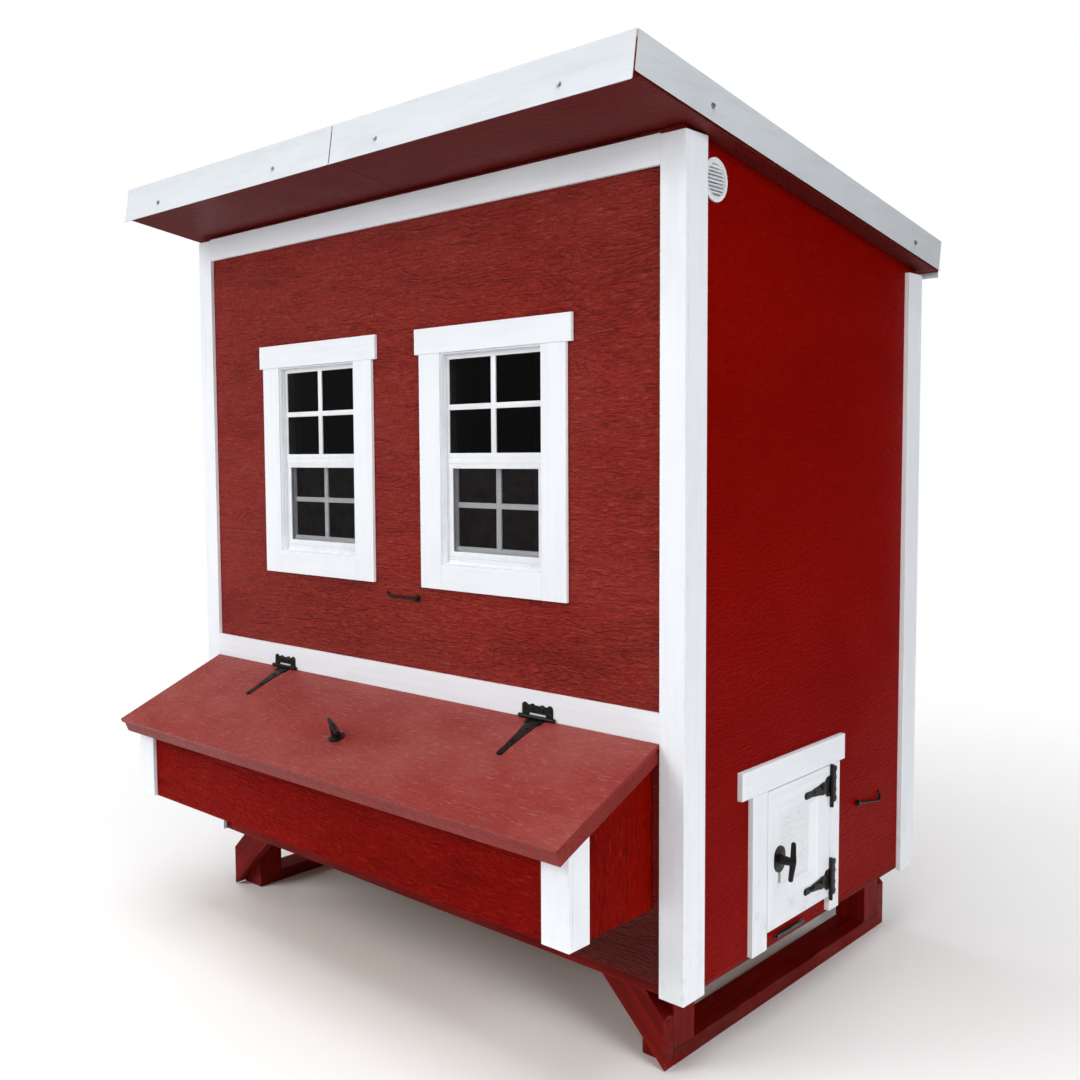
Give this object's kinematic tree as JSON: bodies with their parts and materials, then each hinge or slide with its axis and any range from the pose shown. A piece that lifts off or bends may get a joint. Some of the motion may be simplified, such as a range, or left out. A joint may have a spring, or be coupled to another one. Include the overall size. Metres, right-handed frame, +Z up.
{
  "type": "walk-in chicken coop",
  "caption": "Walk-in wooden hen coop on skids with a shed roof, two sash windows, a lidded nest box and doors on both ends.",
  "frame": {"origin": "On the ground under the middle of the overall box.", "axes": "+Z up; -Y towards the nest box and windows; +X towards the hen door, -X towards the walk-in door."},
  "size_m": [1.9486, 1.6528, 2.2885],
  "materials": {
    "base_paint": "dark red painted framing timber",
    "raw_timber": "bare sawn softwood",
    "ply": "bare sheathing sheet",
    "red_siding": "barn red paint over siding embossed with wood grain",
    "white_paint": "satin white paint on boards",
    "soffit_paint": "dull red paint on soffit sheets",
    "roofing_metal": "light painted ribbed sheet",
    "white_metal": "white painted folded sheet",
    "zinc_screw": "plated pan-head screws",
    "white_vinyl": "white window vinyl",
    "window_glass": "clear float glass",
    "screen_metal": "light grey painted aluminium",
    "screen_wire": "fine grey insect mesh",
    "black_iron": "satin black coated steel",
    "ramp_steel": "dull grey bar"
  },
  "bodies": {
    "coop": {"skid_runners": "base_paint", "skid_legs": "base_paint", "skid_braces": "base_paint", "floor_joists": "raw_timber", "floor_deck": "ply", "front_siding": "red_siding", "back_siding": "red_siding", "right_siding": "red_siding", "left_siding": "red_siding", "front_wall_studs": "raw_timber", "back_wall_studs": "raw_timber", "end_wall_studs": "raw_timber", "corner_boards": "white_paint", "wall_trim_boards": "white_paint", "rafters": "raw_timber", "roof_edge_boards": "base_paint", "soffit_panels": "soffit_paint", "roof_sheathing": "ply", "roofing_sheets": "roofing_metal", "front_drip_edges": "white_metal", "side_drip_edges": "white_metal", "back_drip_edge": "white_metal", "roof_screws": "zinc_screw", "window_casings": "white_paint", "window_frames": "white_vinyl", "upper_window_grids": "white_vinyl", "upper_window_glass": "window_glass", "window_screen_frames": "screen_metal", "window_screen_mesh": "screen_wire", "nest_box_walls": "red_siding", "nest_box_floor": "ply", "nest_partitions": "ply", "nest_corner_boards": "white_paint", "hinge_plates": "black_iron", "hinge_pins": "black_iron", "door_trim_boards": "white_paint", "screws_and_keeper": "zinc_screw", "gable_vents": "white_vinyl", "ramp_bar": "ramp_steel", "roost_ladder": "raw_timber"},
    "lid": {"nest_lid": "red_siding", "lid_hinge_straps": "black_iron", "lid_handle_plate": "black_iron"},
    "lid_latch": {"lid_handle": "black_iron"},
    "hen_door": {"hen_door_boards": "white_paint", "hen_door_panel": "white_paint", "hen_hinge_straps": "black_iron", "hen_handle_plate": "black_iron"},
    "hen_latch": {"hen_door_handle": "black_iron"},
    "walk_door": {"walk_door_boards": "white_paint", "walk_door_panel": "red_siding", "walk_hinge_straps": "black_iron", "walk_handle_plate": "black_iron"},
    "walk_latch": {"walk_door_handle": "black_iron"},
    "right_sash": {"right_lower_sash": "white_vinyl", "right_lower_glass": "window_glass"},
    "left_sash": {"left_lower_sash": "white_vinyl", "left_lower_glass": "window_glass"},
    "lid_catch": {"lid_hook": "black_iron"},
    "hen_catch": {"hen_door_hook": "black_iron"}
  },
  "joints": [
    {"name": "lid_hinge", "type": "hinge", "parent": "coop", "child": "lid", "pos_m": [0, -0.46261, 0.7888], "axis": [-1, 0, 0], "range_deg": [0, 100]},
    {"name": "lid_handle_turn", "type": "hinge", "parent": "lid", "child": "lid_latch", "pos_m": [0, -0.67954, 0.69321], "axis": [0, -0.3827, 0.9239], "range_deg": [-61, 0]},
    {"name": "hen_door_hinge", "type": "hinge", "parent": "coop", "child": "hen_door", "pos_m": [0.9338, 0.24369, 0.4265], "axis": [0, 0, 1], "range_deg": [0, 165]},
    {"name": "hen_handle_turn", "type": "hinge", "parent": "hen_door", "child": "hen_latch", "pos_m": [0.9285, -0.02731, 0.422], "axis": [1, 0, 0], "range_deg": [-90, 0]},
    {"name": "walk_door_hinge", "type": "hinge", "parent": "coop", "child": "walk_door", "pos_m": [-0.9338, 0.47669, 1.08], "axis": [0, 0, -1], "range_deg": [0, 160]},
    {"name": "walk_handle_turn", "type": "hinge", "parent": "walk_door", "child": "walk_latch", "pos_m": [-0.9285, -0.10231, 1.08], "axis": [-1, 0, 0], "range_deg": [0, 90]},
    {"name": "right_sash_slide", "type": "slide", "parent": "coop", "child": "right_sash", "axis": [0, 0, 1], "range_m": [0, 0.235]},
    {"name": "left_sash_slide", "type": "slide", "parent": "coop", "child": "left_sash", "axis": [0, 0, 1], "range_m": [0, 0.235]},
    {"name": "lid_hook_swing", "type": "hinge", "parent": "coop", "child": "lid_catch", "pos_m": [0.074, -0.45031, 1.047], "axis": [0, -1, 0], "range_deg": [0, 90]},
    {"name": "hen_hook_swing", "type": "hinge", "parent": "coop", "child": "hen_catch", "pos_m": [0.9195, 0.43069, 0.457], "axis": [1, 0, 0], "range_deg": [-80, 25]}
  ]
}
